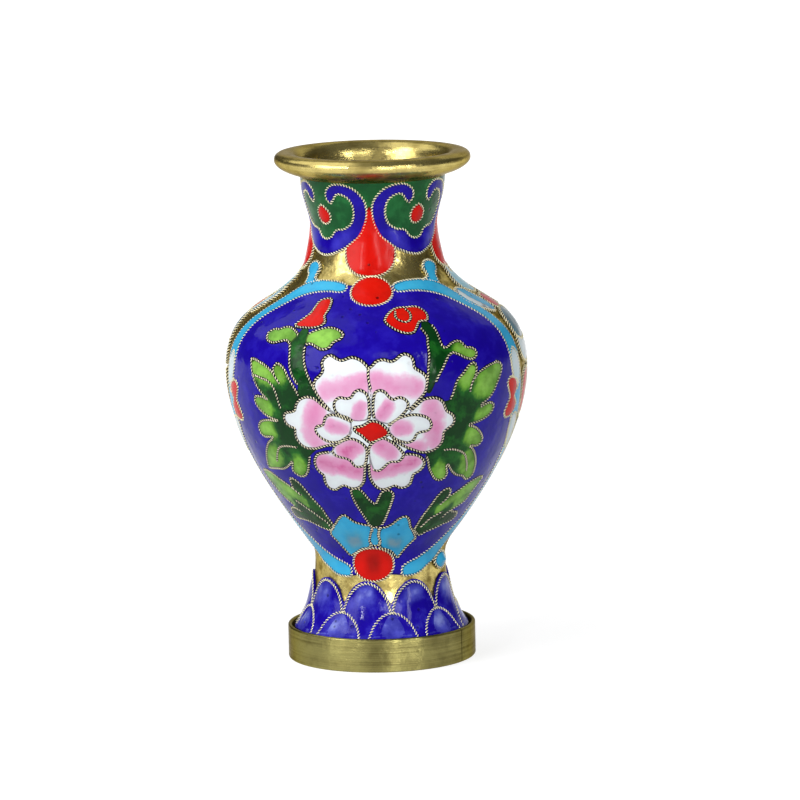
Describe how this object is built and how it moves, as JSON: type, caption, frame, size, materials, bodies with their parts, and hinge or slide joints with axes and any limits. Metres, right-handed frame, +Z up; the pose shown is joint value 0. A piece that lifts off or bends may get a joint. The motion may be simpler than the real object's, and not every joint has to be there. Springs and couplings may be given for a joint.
{
  "type": "cloisonne vase",
  "caption": "Small baluster vase with a flared brass rim and brass foot band, covered in enamel cells between twisted wires, with a peony panel on front and back.",
  "frame": {"origin": "centre of the underside of the foot, on the table", "axes": "+Z up along the axis of the vase, -Y out of the middle of the front panel"},
  "size_m": [0.0598, 0.0602, 0.1],
  "materials": {
    "gilt_copper": "gilt, softly polished",
    "polished_brass": "polished",
    "brushed_brass": "brushed round the foot",
    "cobalt_enamel": "glossy",
    "turquoise_enamel": "glossy",
    "red_enamel": "glossy",
    "leaf_green_enamel": "glossy",
    "neck_green_enamel": "glossy",
    "petal_pink_enamel": "glossy"
  },
  "bodies": {
    "root": {"foot_band": "brushed_brass", "base_plate": "gilt_copper", "foot_shell": "gilt_copper", "belly_shell": "gilt_copper", "shoulder_shell": "gilt_copper", "neck_shell": "gilt_copper", "rim_bead": "polished_brass", "neck_ground": "neck_green_enamel", "neck_scroll_1": "cobalt_enamel", "neck_scroll_2": "cobalt_enamel", "neck_scroll_3": "cobalt_enamel", "neck_scroll_4": "cobalt_enamel", "neck_seed_1": "red_enamel", "neck_seed_2": "red_enamel", "neck_seed_3": "red_enamel", "neck_seed_4": "red_enamel", "neck_drop_1": "red_enamel", "neck_drop_2": "red_enamel", "neck_drop_3": "red_enamel", "neck_drop_4": "red_enamel", "neck_wires": "gilt_copper", "front_ground": "cobalt_enamel", "front_peony_petals": "petal_pink_enamel", "front_peony_heart": "red_enamel", "front_foliage_left": "leaf_green_enamel", "front_leaf_right": "leaf_green_enamel", "front_stem_right": "leaf_green_enamel", "front_bud_left": "red_enamel", "front_bud_right": "red_enamel", "front_spray_left": "leaf_green_enamel", "front_spray_right": "leaf_green_enamel", "front_fork_leaf": "leaf_green_enamel", "front_bow": "turquoise_enamel", "front_top_jewel": "red_enamel", "front_bottom_jewel": "red_enamel", "front_border_left": "turquoise_enamel", "front_border_right": "turquoise_enamel", "front_wires": "gilt_copper", "back_ground": "cobalt_enamel", "back_peony_petals": "petal_pink_enamel", "back_peony_heart": "red_enamel", "back_foliage_left": "leaf_green_enamel", "back_leaf_right": "leaf_green_enamel", "back_stem_right": "leaf_green_enamel", "back_bud_left": "red_enamel", "back_bud_right": "red_enamel", "back_spray_left": "leaf_green_enamel", "back_spray_right": "leaf_green_enamel", "back_fork_leaf": "leaf_green_enamel", "back_bow": "turquoise_enamel", "back_top_jewel": "red_enamel", "back_bottom_jewel": "red_enamel", "back_border_left": "turquoise_enamel", "back_border_right": "turquoise_enamel", "back_wires": "gilt_copper", "side_cartouche_left": "turquoise_enamel", "side_cartouche_right": "turquoise_enamel", "foot_enamel": "cobalt_enamel", "foot_wires": "gilt_copper"}
  },
  "joints": []
}
